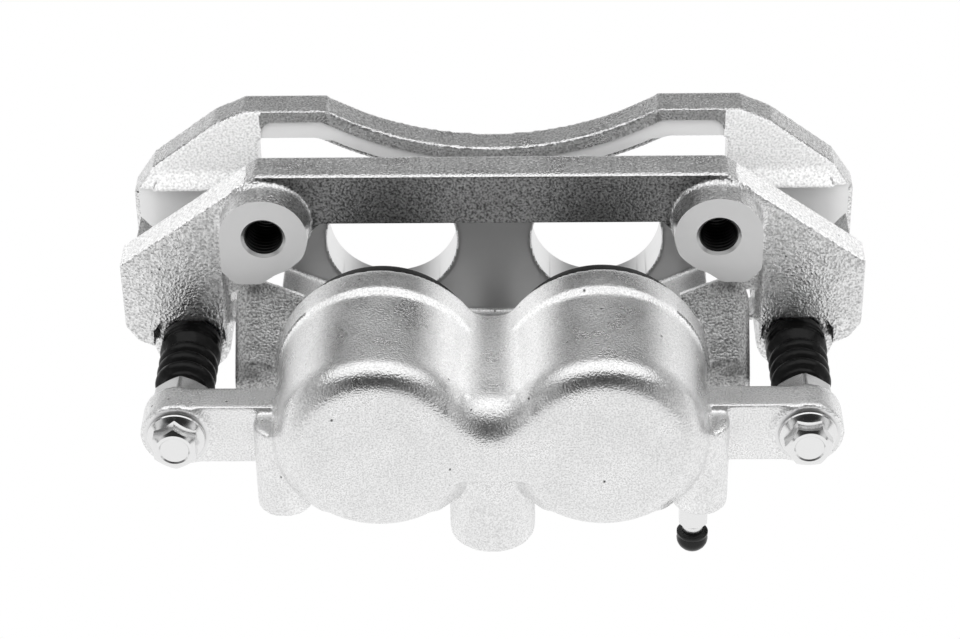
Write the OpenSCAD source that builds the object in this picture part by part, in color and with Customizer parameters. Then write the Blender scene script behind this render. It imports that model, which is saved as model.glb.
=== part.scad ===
// Sliding brake caliper with two pistons on its anchor bracket, pads and disc left out.
// +X runs along the disc's edge, +Y towards the outboard side, +Z towards the wheel hub.
// The origin is midway between the two bracket bolts, on their machined faces.

/* [Disc it fits] */
// Radius of the brake disc
disc_r = 165; // [155:1:198]
// Thickness of the brake disc
disc_t = 28; // [20:1:30]
// How far the disc's edge reaches past the bracket bolts
disc_reach = 78; // [74:1:82]

/* [Anchor bracket] */
// Distance between the two bracket bolts
bolt_spacing = 162; // [156:1:168]
// Core diameter of the threaded bracket bolt holes
bolt_hole_d = 12.4; // [10:0.1:14]
// Radius of the bolt bosses
boss_r = 15.8; // [13:0.2:18]
// How far the bolt bosses stand in front of the inner rail
boss_h = 12; // [8:1:15]
// Thickness of the inner rail and legs
rail_t = 14; // [10:1:16]
// Height of the inner rail's top face
rail_top = 18.5; // [15:0.5:22]
// Depth of the inner rail from top to bottom
rail_h = 20; // [14:1:24]
// Gap across the bracket for the disc
disc_slot = 35; // [33:1:40]
// Thickness of the outboard legs and arch
outer_t = 11; // [9:1:14]
// Height of the outboard arch's end platforms
arch_top = 17.5; // [14:0.5:20]
// Radius of the hollow in the arch's top
arch_r = 122; // [110:1:140]
// Depth of the arch's section
arch_h = 12.3; // [9:0.1:16]
// Overall width across the legs
bracket_w = 271; // [264:1:326]
// How far the crossings over the disc stand in from the legs' outer sides
crossing_inset = 4; // [2:0.5:6]
// Distance from the disc's edge to the bracket and the bridge
disc_gap = 4; // [3:0.5:6]

/* [Guide pins] */
// Distance between the two guide pins
pin_spacing = 224; // [220:1:228]
// Height of the guide pins, below the bracket bolts
pin_z = -57; // [-60:1:-55]
// Diameter of the guide pins
pin_d = 13; // [11:0.1:15.6]
// Length of a guide pin's shaft
pin_len = 82; // [70:1:84]
// Wall round a guide pin's bore
pin_wall = 8; // [6:0.5:9]
// Outer diameter of the guide pin boots
boot_d = 22.4; // [20:0.2:24]
// Number of folds in a guide pin boot
boot_folds = 4; // [3:1:6]

/* [Housing] */
// Diameter of the pistons
piston_d = 48; // [42:0.1:57.6]
// Distance between the two pistons
piston_pitch = 79.2; // [77:0.2:82]
// Height of the pistons, below the bracket bolts
piston_z = -49; // [-51:0.5:-47]
// Wall round a cylinder's bore
barrel_wall = 12.75; // [11:0.25:14]
// How far the rim at a cylinder's mouth stands proud
rim_step = 1.5; // [0.5:0.5:2.5]
// Position of the cylinders' mouths
rim_y = -3.5; // [-5:0.5:-2]
// Overall depth of the cylinders
barrel_len = 56.5; // [47:0.5:60]
// Thickness of the cylinders' closed ends
end_wall = 8; // [6:0.5:10]
// Radius of the rounded edge round the closed ends
end_round = 6.5; // [4:0.5:8]
// Thickness of the bridge over the disc
bridge_t = 14.5; // [12:0.5:18]
// Half the width of the bridge
bridge_half = 82; // [78:1:84]
// Thickness of the outboard fingers
finger_t = 18; // [14:1:20]
// Distance from the disc to the fingers, which holds the outer pad
finger_gap = 16.5; // [14:0.5:18]
// Height of the fingers' tips
finger_top = -27; // [-32:1:-24]
// Thickness of the arms that carry the guide pins
arm_t = 12.5; // [10:0.5:14]
// Radius of the ears round the guide bolts
ear_r = 13; // [12:0.5:14]

/* [Seals and fasteners] */
// Radial depth of the piston seal
seal_depth = 3; // [2:0.2:4]
// Width of the piston seal
seal_w = 4; // [3:0.2:5]
// How far the widest fold of a dust boot stands out past its bead
dust_fold = 2; // [1:0.5:2.5]
// Distance across the flats of the guide bolts
bolt_af = 15; // [13:1:17]
// Distance across the flats of the bleeder screw
bleeder_af = 10; // [8:1:11]
// Core diameter of the hose port
port_d = 9; // [8:0.1:10]
// Radial clearance of the sliding fits
run_gap = 0.05; // [0.02:0.01:0.1]

/* [Hidden] */
$fn = 96;
eps = 0.01;
// Gap left between parts that only rest against each other
seat_gap = 0.05;
// Bracket planes, counted from the bolt faces
rail_front = boss_h;
rail_back = rail_front + rail_t;
disc_mid_y = rail_back + disc_slot / 2;
outer_front = rail_back + disc_slot;
outer_back = outer_front + outer_t;
leg_x = bracket_w / 2;
crossing_x = leg_x - crossing_inset;
bolt_x = bolt_spacing / 2;
pin_x = pin_spacing / 2;
hub_z = disc_r - disc_reach;
clear_r = disc_r + disc_gap;
// Half the width of the gap between the outboard legs
window_half = pin_x - 24.5;
// Where the arch's end platforms start
platform_x = 61.5;
arch_mid_z = 0.5;
pin_boss_r = pin_d / 2 + pin_wall;
bore_face_y = rail_front + 6;
pin_bore_end = outer_back - 3;
boot_seat_r = pin_d / 2 + 3.6;
boot_seat_d = 3;
notch_half = 13;
notch_top = 13.5;
notch_round = 7;
// Housing planes
piston_x = piston_pitch / 2;
bore_r = piston_d / 2 + run_gap;
barrel_r = bore_r + barrel_wall;
rim_r = barrel_r + rim_step;
rim_w = 12;
barrel_back = rim_y - barrel_len;
bore_end = barrel_back + end_wall;
finger_in = disc_mid_y + disc_t / 2 + finger_gap;
finger_out = finger_in + finger_t;
finger_hole_r = bore_r + 0.6;
bridge_out_r = clear_r + bridge_t;
bridge_low = hub_z - bridge_out_r;
wing_back = rim_y + 11.5;
wing_front = rim_y - 6.5;
arm_back = rim_y - 24;
arm_front = arm_back - arm_t;
arm_top = pin_z + 12;
arm_bottom = pin_z - 12.5;
thread_r = 3.5;
side_boss_x = piston_x + barrel_r - 2.4;
side_boss_r = thread_r + 6.5;
side_boss_y = bore_end + 7;
side_boss_z = piston_z - 33.5;
port_boss_r = port_d / 2 + 10.8;
port_boss_y = bore_end + 8;
port_boss_z = piston_z - 47;
port_depth = 20;
passage_r = 2.5;
passage_z = piston_z - 11;
plug_t = 3;
plug_x = side_boss_x + side_boss_r - 0.8;
web_top = piston_z + 18.5;
web_back_top = piston_z + 6;
// Seals and dust boots
groove_y = rim_y - 9;
lip_r = piston_d / 2 + 7.5;
lip_depth = 4.5;
piston_face = rim_y + 14.5;
piston_wall = 6;
piston_neck = 2.5;
bead_r = lip_r - seat_gap;
bead_w = 2.6;
dust_boot_r = lip_r + dust_fold;
dust_boot_room = 1.5;
ring_wire = 1.2;
// Guide pins, bolts and boots
collar_t = 5.5;
collar_af = 17;
bolt_shank_r = 4.9;
bolt_reach = 24;
ear_hole_r = 5.6;
washer_t = 2;
washer_r = bolt_af / 2 / cos(30) + 1.74;
bolt_head_h = 6.5;
pin_start = arm_back + seat_gap;
shaft_start = pin_start + collar_t;
shaft_end = shaft_start + pin_len;
bush_groove = 1.4;
bush_len = 12;
bush_end = shaft_end - 6;
boot_start = shaft_start + seat_gap;
boot_neck = 2.2;
boot_root = 2;
// Bleeder
bleeder_y = side_boss_y;
bleeder_x = side_boss_x - 2;
bleeder_top = passage_z - 4;
bleeder_flange_t = 1.6;
bleeder_flange_r = bleeder_af / 2 / cos(30) + 0.13;
bleeder_bore_r = 1.1;
bleeder_hex_h = 6;
nipple_r = 3;
nipple_len = 9;
cap_wall = 2.6;
cap_r = nipple_r + cap_wall + run_gap;
flange_z = side_boss_z - 0.4;
hex_z = flange_z - bleeder_flange_t;
hex_end = hex_z - bleeder_hex_h;
nipple_end = hex_end - nipple_len;
cap_start = hex_end - 0.5;
cap_end = nipple_end - 0.5;

// A flat outline, drawn in X and Z, given thickness from y0 to y1
module slab(y0, y1) {
  translate([0, y1, 0])
    rotate([90, 0, 0])
      linear_extrude(y1 - y0)
        children();
}

// A round bar along Y
module bar_y(y0, y1, r, x, z) {
  translate([x, y1, z])
    rotate([90, 0, 0])
      cylinder(h = y1 - y0, r = r);
}

// A round bar along Z
module bar_z(z0, z1, r, x, y) {
  translate([x, y, z0])
    cylinder(h = z1 - z0, r = r);
}

// A round bar along X
module bar_x(x0, x1, r, y, z) {
  translate([x0, y, z])
    rotate([0, 90, 0])
      cylinder(h = x1 - x0, r = r);
}

// An outline of radius against Y, turned about an axis along Y
module turned_y(x, z) {
  translate([x, 0, z])
    rotate([-90, 0, 0])
      rotate_extrude()
        children();
}

// The same shape on both sides of the middle
module both_sides() {
  children();
  mirror([1, 0, 0]) children();
}

module at_hub() {
  translate([0, hub_z]) children();
}

// ---------- anchor bracket ----------

// The machined face round a bracket bolt: round on top, squared off on the outer side and below
module boss_outline() {
  translate([bolt_x, 0]) circle(r = boss_r);
  polygon([
    [bolt_x + boss_r, 0], [bolt_x + boss_r, -boss_r + 2], [bolt_x + boss_r - 5, -boss_r - 3.6],
    [bolt_x + 2, -boss_r - 3.6], [bolt_x - 13.5, -8.2], [bolt_x - boss_r, 0]
  ]);
}

// Inner leg: sloped along the top, cut back below towards the guide pin
module inner_leg_outline() {
  polygon([
    [bolt_x + 3, rail_top], [leg_x, rail_top - 37.5], [leg_x, pin_z + 11],
    [leg_x - 4, pin_z + 5], [pin_x + notch_half - 1, pin_z + 1],
    [pin_x - 14, pin_z + 1], [pin_x - 14, -boss_r - 3.6],
    [bolt_x, -boss_r - 3.6], [bolt_x - boss_r - 4, rail_top - rail_h], [bolt_x - boss_r - 4, rail_top]
  ]);
}

// Milled opening that the guide pin boot stands in
module boot_notch_outline() {
  corner_z = pin_z + notch_top - notch_round;
  for (side = [-1, 1])
    translate([pin_x + side * (notch_half - notch_round), corner_z]) circle(r = notch_round);
  translate([pin_x - notch_half + notch_round, pin_z])
    square([2 * (notch_half - notch_round), notch_top]);
  translate([pin_x - notch_half, pin_z - 30])
    square([2 * notch_half, 30 + notch_top - notch_round]);
}

// Crossing over the disc's edge, with the guide pin's boss under it
module crossing_outline() {
  difference() {
    union() {
      translate([pin_x, pin_z]) circle(r = pin_boss_r);
      polygon([
        [crossing_x, -8], [crossing_x, pin_z + 11], [crossing_x - 2, pin_z + 5],
        [pin_x + pin_boss_r - 3, pin_z - 4], [pin_x - 10, pin_z - 4], [pin_x - 14, pin_z + 8],
        [pin_x - 10, -8]
      ]);
    }
    at_hub() circle(r = clear_r, $fn = 200);
  }
}

module outer_leg_outline() {
  polygon([
    [platform_x, arch_top], [window_half + 4.3, arch_top], [leg_x - 32, arch_top - 5.2],
    [leg_x - 8, arch_top - 23.5], [leg_x, arch_top - 35.5], [leg_x, pin_z + 11],
    [leg_x - 4, pin_z + 5], [pin_x + pin_boss_r - 3, pin_z - 4], [pin_x - 10, pin_z - 4],
    [pin_x - 14, pin_z + 8], [window_half, pin_z + 20], [window_half, arch_top - arch_h],
    [platform_x, arch_top - arch_h]
  ]);
}

module arch_outline() {
  intersection() {
    translate([0, arch_mid_z + arch_r])
      difference() {
        circle(r = arch_r + arch_h, $fn = 200);
        circle(r = arch_r, $fn = 200);
      }
    translate([-platform_x - 4, arch_mid_z - 20])
      square([2 * platform_x + 8, arch_top - arch_mid_z + 20]);
  }
}

// Groove and ledge that a pad's ear slides along
module pad_ledge(y0, y1) {
  difference() {
    translate([pin_x - 20.5, y0, pin_z + 11])
      cube([8, y1 - y0, 26]);
    translate([pin_x - 20.5 - eps, y0 - eps, pin_z + 13.5])
      cube([4.5, y1 - y0 + 2 * eps, 11]);
  }
}

module anchor_bracket() {
  color("silver")
    difference() {
      union() {
        slab(rail_front, rail_back)
          translate([-bolt_x, rail_top - rail_h]) square([2 * bolt_x, rail_h]);
        slab(outer_front, outer_back) arch_outline();
        both_sides() {
          slab(0, rail_back) boss_outline();
          slab(rail_front, rail_back) inner_leg_outline();
          slab(rail_back - eps, outer_front + eps) crossing_outline();
          slab(outer_front, outer_back) outer_leg_outline();
          slab(bore_face_y, rail_back) translate([pin_x, pin_z]) circle(r = pin_boss_r);
          slab(outer_front, outer_back) translate([pin_x, pin_z]) circle(r = pin_boss_r);
          pad_ledge(rail_front + 2, rail_back);
        }
      }
      both_sides() {
        bar_y(-eps, rail_back + eps, bolt_hole_d / 2, bolt_x, 0);
        slab(rail_front - eps, bore_face_y) boot_notch_outline();
        bar_y(bore_face_y - eps, pin_bore_end, pin_d / 2 + run_gap, pin_x, pin_z);
        bar_y(bore_face_y - eps, bore_face_y + boot_seat_d, boot_seat_r, pin_x, pin_z);
      }
    }
}

// ---------- caliper housing ----------

// One cylinder: thicker at its mouth, rounded round its closed end
module barrel() {
  turned_y(piston_x, piston_z) {
    translate([0, rim_y - rim_w]) square([rim_r, rim_w]);
    translate([0, barrel_back]) square([barrel_r - end_round, barrel_len]);
    translate([0, barrel_back + end_round]) square([barrel_r, barrel_len - end_round]);
    translate([barrel_r - end_round, barrel_back + end_round]) circle(r = end_round);
  }
}

// Web that joins the two cylinders
module web() {
  translate([-piston_x / 2, barrel_back + end_round, piston_z - 24])
    cube([piston_x, barrel_len - end_round, 24 + web_top - piston_z]);
  translate([-piston_x / 2, barrel_back, piston_z - 12])
    cube([piston_x, 2 * end_round, 12 + web_back_top - piston_z]);
}

// Shoulders beside the cylinders, where the bridge starts
module wing_outline() {
  polygon([
    [bridge_half - 22, -30.5], [bridge_half - 16, -29.5], [bridge_half + 2.5, -21.5],
    [bridge_half + 5, -21.8], [bridge_half + 8.5, -28], [bridge_half + 11.5, -52],
    [bridge_half + 11.5, -70], [bridge_half + 3, -76], [bridge_half - 22, -84]
  ]);
}

module bridge_outline() {
  difference() {
    intersection() {
      at_hub() circle(r = bridge_out_r, $fn = 200);
      translate([-bridge_half, bridge_low - 1]) square([2 * bridge_half, 60]);
    }
    at_hub() circle(r = clear_r, $fn = 200);
  }
}

// Three fingers between two round gaps in line with the cylinders
module finger_outline() {
  difference() {
    intersection() {
      at_hub() circle(r = bridge_out_r, $fn = 200);
      polygon([
        [-bridge_half, bridge_low - 1], [-bridge_half, -60], [-bridge_half + 5, finger_top - 6],
        [-bridge_half + 11, finger_top], [bridge_half - 11, finger_top],
        [bridge_half - 5, finger_top - 6], [bridge_half, -60], [bridge_half, bridge_low - 1]
      ]);
    }
    for (side = [-1, 1])
      translate([side * piston_x, piston_z]) {
        circle(r = finger_hole_r);
        translate([-finger_hole_r + 3, 0]) square([2 * finger_hole_r - 6, 40]);
      }
  }
}

// Arm and ear that one guide bolt goes through
module arm() {
  translate([piston_x + 20, arm_front, arm_bottom])
    cube([pin_x - piston_x - 20, arm_t, arm_top - arm_bottom]);
  bar_y(arm_front - 1, arm_back, ear_r, pin_x, pin_z);
}

module caliper_housing() {
  color("gainsboro")
    difference() {
      union() {
        web();
        slab(wing_front, finger_out) bridge_outline();
        slab(finger_in, finger_out) finger_outline();
        bar_z(port_boss_z, piston_z - 12, port_boss_r, 0, port_boss_y);
        both_sides() {
          barrel();
          arm();
          slab(wing_front, wing_back) wing_outline();
          bar_z(side_boss_z, arm_top - 2, side_boss_r, side_boss_x, side_boss_y);
          translate([side_boss_x - 14, side_boss_y, arm_bottom + 2])
            cube([14 + side_boss_r - 2, arm_front - side_boss_y + 6, arm_top - arm_bottom - 4]);
        }
      }
      both_sides() {
        bar_y(bore_end, rim_y + eps, bore_r, piston_x, piston_z);
        bar_y(groove_y, groove_y + seal_w, bore_r + seal_depth, piston_x, piston_z);
        bar_y(rim_y - lip_depth, rim_y + eps, lip_r, piston_x, piston_z);
        bar_y(rim_y, piston_face + 2, dust_boot_r + dust_boot_room, piston_x, piston_z);
        bar_y(arm_front - 1 - eps, arm_back + eps, ear_hole_r, pin_x, pin_z);
      }
      bar_z(port_boss_z - eps, port_boss_z + port_depth, port_d / 2, 0, port_boss_y);
      bar_z(port_boss_z, passage_z, passage_r, 0, port_boss_y);
      bar_x(-piston_x + bore_r - 6, side_boss_x + side_boss_r + 1, passage_r, bleeder_y, passage_z);
      bar_z(side_boss_z - eps, passage_z, thread_r + run_gap, bleeder_x, bleeder_y);
    }
}

// Steel plug that closes the drilled passage between the cylinders
module passage_plug() {
  color("gray") bar_x(plug_x - plug_t, plug_x, passage_r - seat_gap, bleeder_y, passage_z);
}

// ---------- pistons and seals ----------

// Cup piston, open towards the pad, with a groove for the dust boot's lip
module piston(x) {
  y0 = bore_end + 1.5;
  neck_y = piston_face - 5;
  color("lightgray")
    turned_y(x, piston_z)
      difference() {
        translate([0, y0]) square([piston_d / 2, piston_face - y0]);
        translate([-eps, y0 + 9]) square([piston_d / 2 - piston_wall + eps, piston_face - y0]);
        translate([piston_d / 2 - 1.5, neck_y]) square([2, piston_neck]);
      }
}
module piston_left() { piston(-piston_x); }
module piston_right() { piston(piston_x); }

// Square-cut rubber ring that seals a piston
module piston_seal(x) {
  color("#202022")
    turned_y(x, piston_z)
      translate([bore_r, groove_y + seat_gap])
        square([seal_depth - seat_gap, seal_w - 2 * seat_gap]);
}
module piston_seal_left() { piston_seal(-piston_x); }
module piston_seal_right() { piston_seal(piston_x); }

// Folded rubber boot from the cylinder's mouth to the piston's groove
module dust_boot(x) {
  lip_y = piston_face - 5 + seat_gap;
  lip_w = piston_neck - 2 * seat_gap;
  seat_y = rim_y - lip_depth + seat_gap;
  inner = piston_d / 2 + 0.4;
  color("#18181a")
    turned_y(x, piston_z)
      polygon([
        [bead_r - bead_w, seat_y], [bead_r, seat_y], [bead_r, rim_y + 1],
        [dust_boot_r, rim_y + 4], [dust_boot_r, rim_y + 9.5], [dust_boot_r - 1.6, rim_y + 11],
        [inner + 2.5, lip_y + lip_w + 0.3], [inner, lip_y + lip_w], [inner, lip_y],
        [inner + 2.2, lip_y - 1.2], [dust_boot_r - bead_w, rim_y + 8],
        [dust_boot_r - bead_w, rim_y + 4.6], [bead_r - bead_w, rim_y + 1.8]
      ]);
}
module dust_boot_left() { dust_boot(-piston_x); }
module dust_boot_right() { dust_boot(piston_x); }

// Steel ring that holds the boot's bead in the cylinder's mouth
module boot_ring(x) {
  color("dimgray")
    turned_y(x, piston_z)
      translate([bead_r - bead_w - ring_wire - seat_gap, rim_y - lip_depth + seat_gap])
        square([ring_wire, lip_depth - 1]);
}
module boot_ring_left() { boot_ring(-piston_x); }
module boot_ring_right() { boot_ring(piston_x); }

// ---------- guide pins ----------

// A six-sided prism along Y, by its distance across the flats
module hex_y(y0, y1, af, x, z, turn) {
  translate([x, y1, z])
    rotate([90, 0, 0])
      rotate([0, 0, turn])
        cylinder(h = y1 - y0, r = af / 2 / cos(30), $fn = 6);
}

module guide_pin(x, bushed) {
  color("lightsteelblue")
    difference() {
      union() {
        hex_y(pin_start, shaft_start, collar_af, x, pin_z, 0);
        bar_y(shaft_start - eps, shaft_end, pin_d / 2, x, pin_z);
      }
      bar_y(pin_start - eps, pin_start + bolt_reach + 3, bolt_shank_r + run_gap, x, pin_z);
      if (bushed)
        turned_y(x, pin_z)
          translate([pin_d / 2 - bush_groove, bush_end - bush_len])
            square([bush_groove + 1, bush_len]);
    }
}
module guide_pin_left() { guide_pin(-pin_x, false); }
module guide_pin_right() { guide_pin(pin_x, true); }

// Rubber sleeve near the tip of one pin, which stops it rattling in its bore
module pin_bushing() {
  color("#26262a")
    turned_y(pin_x, pin_z)
      translate([pin_d / 2 - bush_groove + seat_gap, bush_end - bush_len + seat_gap])
        square([bush_groove - seat_gap, bush_len - 2 * seat_gap]);
}

// Pleated rubber boot from the pin's collar to the bracket
module pin_boot(x) {
  y1 = bore_face_y - 1;
  neck_r = pin_d / 2 + boot_neck;
  crest_r = boot_d / 2;
  inner_r = pin_d / 2 + 0.4;
  span = y1 - boot_start - 3;
  pitch = span / boot_folds;
  color("#151517")
    turned_y(x, pin_z)
      polygon(concat(
        [[inner_r, boot_start], [neck_r, boot_start]],
        [for (i = [0 : boot_folds - 1], k = [0 : 2])
          [k == 0 ? crest_r - boot_root : crest_r, boot_start + 2 + (i + [0, 0.3, 0.72][k]) * pitch]],
        [[crest_r - boot_root, y1 - 1], [crest_r - boot_root, bore_face_y - 0.3],
         [boot_seat_r - seat_gap, bore_face_y - 0.3],
         [boot_seat_r - seat_gap, bore_face_y + boot_seat_d - seat_gap],
         [inner_r, bore_face_y + boot_seat_d - seat_gap]]
      ));
}
module pin_boot_left() { pin_boot(-pin_x); }
module pin_boot_right() { pin_boot(pin_x); }

// Flanged hexagon bolt that holds an ear to its guide pin
module guide_bolt(x, turn) {
  seat = arm_front - 1 - seat_gap;
  head = seat - washer_t;
  color("silver") {
    bar_y(head, seat, washer_r, x, pin_z);
    hex_y(head - bolt_head_h, head + eps, bolt_af, x, pin_z, turn);
    bar_y(seat - eps, pin_start + bolt_reach, bolt_shank_r, x, pin_z);
  }
}
module guide_bolt_left() { guide_bolt(-pin_x, 30); }
module guide_bolt_right() { guide_bolt(pin_x, 0); }

// ---------- bleeder ----------

// Hollow screw with a hexagon and a nipple; it opens the passage as it is turned
module bleeder_screw() {
  color("silver")
    difference() {
      union() {
        bar_z(hex_end, bleeder_top, thread_r, bleeder_x, bleeder_y);
        bar_z(hex_z, flange_z, bleeder_flange_r, bleeder_x, bleeder_y);
        translate([bleeder_x, bleeder_y, hex_end])
          cylinder(h = bleeder_hex_h + eps, r = bleeder_af / 2 / cos(30), $fn = 6);
        bar_z(nipple_end, hex_end + eps, nipple_r, bleeder_x, bleeder_y);
      }
      bar_z(nipple_end - eps, bleeder_top - 4, bleeder_bore_r, bleeder_x, bleeder_y);
      bar_x(bleeder_x - thread_r - 1, bleeder_x + thread_r + 1, 0.9, bleeder_y, bleeder_top - 5);
    }
}

// Domed rubber cap over the bleeder's nipple
module bleeder_cap() {
  color("#1c1c1e")
    translate([bleeder_x, bleeder_y, 0])
      rotate_extrude()
        difference() {
          union() {
            translate([0, cap_end]) square([cap_r, cap_start - cap_end]);
            intersection() {
              translate([0, cap_end + 1]) circle(r = cap_r);
              translate([0, cap_end - cap_r]) square([cap_r, cap_r + 2]);
            }
          }
          translate([-eps, cap_end + 0.3]) square([nipple_r + run_gap + eps, cap_start - cap_end]);
        }
}

anchor_bracket();
caliper_housing();
piston_left();
piston_right();
piston_seal_left();
piston_seal_right();
dust_boot_left();
dust_boot_right();
boot_ring_left();
boot_ring_right();
guide_pin_left();
guide_pin_right();
pin_bushing();
pin_boot_left();
pin_boot_right();
guide_bolt_left();
guide_bolt_right();
passage_plug();
bleeder_screw();
bleeder_cap();
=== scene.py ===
import math

import bmesh
import bpy
from mathutils import Matrix, Vector


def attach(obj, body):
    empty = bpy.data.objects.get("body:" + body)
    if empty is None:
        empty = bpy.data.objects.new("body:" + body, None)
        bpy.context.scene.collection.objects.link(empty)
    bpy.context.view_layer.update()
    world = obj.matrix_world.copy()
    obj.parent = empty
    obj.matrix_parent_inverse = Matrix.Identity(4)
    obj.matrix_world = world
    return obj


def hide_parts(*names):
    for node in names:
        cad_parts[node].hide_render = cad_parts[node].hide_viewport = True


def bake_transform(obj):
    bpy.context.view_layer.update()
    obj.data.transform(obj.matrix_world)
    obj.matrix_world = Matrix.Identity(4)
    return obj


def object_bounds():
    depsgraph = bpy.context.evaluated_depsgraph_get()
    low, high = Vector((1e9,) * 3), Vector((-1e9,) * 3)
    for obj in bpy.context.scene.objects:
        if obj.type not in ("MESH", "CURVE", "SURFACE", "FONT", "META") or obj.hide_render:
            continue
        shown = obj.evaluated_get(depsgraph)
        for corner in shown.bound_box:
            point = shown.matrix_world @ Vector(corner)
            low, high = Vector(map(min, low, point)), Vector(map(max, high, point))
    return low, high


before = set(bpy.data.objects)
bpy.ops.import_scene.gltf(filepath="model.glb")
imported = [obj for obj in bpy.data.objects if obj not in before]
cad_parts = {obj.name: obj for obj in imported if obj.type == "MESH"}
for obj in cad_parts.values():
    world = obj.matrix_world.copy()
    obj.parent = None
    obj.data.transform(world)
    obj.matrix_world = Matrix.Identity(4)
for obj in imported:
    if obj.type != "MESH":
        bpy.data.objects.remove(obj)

cad_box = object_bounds()
scene = bpy.context.scene


# ==== Studio ====
# A white table under the caliper, a large soft lamp overhead, a weak one in front and a pale room.
# The table ends a little way in front of the caliper, and the room beyond it is dark.

CAMERA_ELEVATION = math.radians(34.6)
CAMERA_AZIMUTH = math.radians(-1.33)
CAMERA_ROLL = math.radians(-1.04)
CAMERA_DISTANCE = 0.9945
AIM_RIGHT = 0.0038
AIM_UP = 0.029
LENS = 105
TABLE_SIZE = 6
TABLE_GAP = 0.0135  # room below the bleeder cap for it to be pulled off
TABLE_FRONT = -0.42
TABLE_FADE = 0.1
TABLE_GLOW = 0.98
PAST_TABLE_GLOW = 0.1
DARK_WAY = (0, -0.906, 0.423)
DARK_EDGE = (0.78, 0.9)  # cosines of the angle from the dark way
DARK_GLOW = 0.13
HORIZON_EDGE = (0.12, 0.42)  # heights at which the light of the horizon starts and stops fading
HORIZON_GLOW = 0.95
ABOVE_GLOW = 0.22
OVERHEAD_PLACE = (0, 0.08, 0.9)
OVERHEAD_SIZE = (2.4, 1.3)
OVERHEAD_POWER = 10.5
FILL_PLACE = (0, -0.62, 0.6)
FILL_SIZE = 0.8
FILL_POWER = 12


def link(name, data):
    """A new object in the scene that holds this mesh, lamp or camera."""
    obj = bpy.data.objects.new(name, data)
    scene.collection.objects.link(obj)
    return obj


def new_material(name):
    """An empty node material with its output node."""
    material = bpy.data.materials.new(name)
    material.use_nodes = True
    material.node_tree.nodes.clear()
    output = material.node_tree.nodes.new("ShaderNodeOutputMaterial")
    return material, material.node_tree, output


def add(tree, kind, values=None, **settings):
    """A node of this kind, with its settings and the values of its inputs."""
    node = tree.nodes.new(kind)
    for name, setting in settings.items():
        setattr(node, name, setting)
    for name, value in (values or {}).items():
        node.inputs[name].default_value = value
    return node


def ramp(tree, value, start, stop, smooth=False):
    """Carries a value from one range, a pair of numbers, to another, and holds it at the ends."""
    node = add(tree, "ShaderNodeMapRange", {"From Min": start[0], "From Max": start[1],
                                            "To Min": stop[0], "To Max": stop[1]})
    node.interpolation_type = "SMOOTHSTEP" if smooth else "LINEAR"
    tree.links.new(value, node.inputs["Value"])
    return node.outputs["Result"]


def calculate(tree, operation, *values):
    """One step of arithmetic on numbers and sockets."""
    node = add(tree, "ShaderNodeMath", operation=operation)
    for socket, value in zip(node.inputs, values):
        if isinstance(value, float):
            socket.default_value = value
        else:
            tree.links.new(value, socket)
    return node.outputs[0]


def white_to_eye(tree, glow):
    """Full white where it is looked at, and the given glow in reflections."""
    eye = add(tree, "ShaderNodeLightPath")
    pick = add(tree, "ShaderNodeMix", {"B": 1.0})
    tree.links.new(eye.outputs["Is Camera Ray"], pick.inputs["Factor"])
    tree.links.new(glow, pick.inputs["A"])
    return pick.outputs["Result"]


def place_camera():
    """The camera looks down on the caliper from in front, a little aside and a little tilted."""
    forward = Vector((
        math.sin(CAMERA_AZIMUTH) * math.cos(CAMERA_ELEVATION),
        math.cos(CAMERA_AZIMUTH) * math.cos(CAMERA_ELEVATION),
        -math.sin(CAMERA_ELEVATION),
    ))
    level_right = Vector((math.cos(CAMERA_AZIMUTH), -math.sin(CAMERA_AZIMUTH), 0))
    level_up = level_right.cross(forward)
    right = level_right * math.cos(CAMERA_ROLL) + level_up * math.sin(CAMERA_ROLL)
    up = level_up * math.cos(CAMERA_ROLL) - level_right * math.sin(CAMERA_ROLL)
    data = bpy.data.cameras.new("camera")
    data.lens = LENS
    camera = link("camera", data)
    place = -CAMERA_DISTANCE * forward - AIM_RIGHT * right - AIM_UP * up
    turn = Matrix((right, up, -forward)).transposed()
    camera.matrix_world = Matrix.Translation(place) @ turn.to_4x4()
    scene.camera = camera


def lay_table():
    """The table: white to the eye, and dark in reflections past its front edge."""
    half = TABLE_SIZE / 2
    z = cad_box[0].z - TABLE_GAP
    mesh = bpy.data.meshes.new("table")
    corners = [(-half, -half, z), (half, -half, z), (half, half, z), (-half, half, z)]
    mesh.from_pydata(corners, [], [(0, 1, 2, 3)])
    table = link("table", mesh)
    material, tree, output = new_material("table_white")
    place = add(tree, "ShaderNodeTexCoord")
    split = add(tree, "ShaderNodeSeparateXYZ")
    shine = add(tree, "ShaderNodeEmission")
    tree.links.new(place.outputs["Object"], split.inputs[0])
    glow = ramp(tree, split.outputs["Y"], (TABLE_FRONT - TABLE_FADE, TABLE_FRONT + TABLE_FADE),
                (PAST_TABLE_GLOW, TABLE_GLOW))
    tree.links.new(white_to_eye(tree, glow), shine.inputs["Strength"])
    tree.links.new(shine.outputs[0], output.inputs["Surface"])
    mesh.materials.append(material)


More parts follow.
